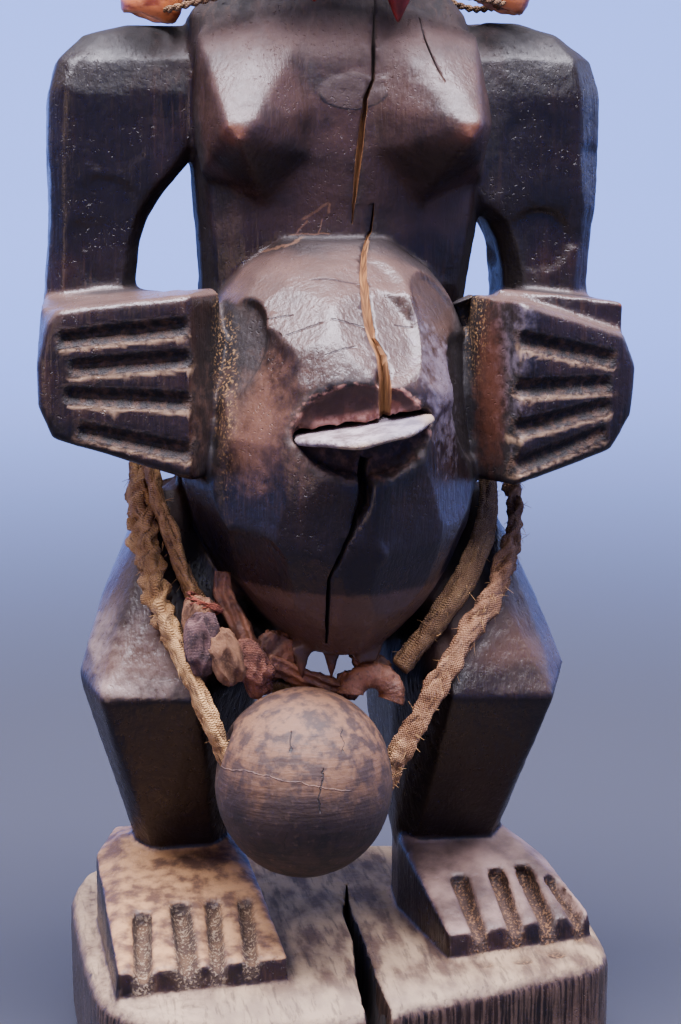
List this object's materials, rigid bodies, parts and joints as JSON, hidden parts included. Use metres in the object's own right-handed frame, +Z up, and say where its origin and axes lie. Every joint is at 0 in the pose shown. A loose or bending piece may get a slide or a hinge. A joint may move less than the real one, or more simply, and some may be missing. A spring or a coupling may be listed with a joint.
{
  "type": "songye power figure",
  "caption": "Carved wooden standing power figure on its base, hands on the belly, with a plate in the belly, a ball hung on a cloth cord and a necklace.",
  "frame": {"origin": "on the underside of the base, straight below the figure's neck", "axes": "+Z up the figure; it faces -Y, and +X is to the right of someone who looks at its front"},
  "size_m": [0.149, 0.1359, 0.3795],
  "materials": {
    "carved_wood": "dark polished patina, dusty in the hollows and on the base",
    "plate": "matte grey-white",
    "ball_wood": "worn and dusty",
    "cord_cloth": "braided cloth strip",
    "knot_leather": "worn",
    "bundle_cloth": "knotted cloth",
    "necklace_thread": "twisted thread",
    "shell": "worn gloss",
    "bead": "satin"
  },
  "bodies": {
    "root": {"figure": "carved_wood", "belly_plate": "plate", "pendant_ball": "ball_wood", "hip_cord": "cord_cloth", "cord_knot": "knot_leather", "cloth_bundle": "bundle_cloth", "necklace_cord": "necklace_thread", "shell_left": "shell", "shell_right": "shell", "bead_long": "bead", "bead_short": "bead"}
  },
  "joints": []
}
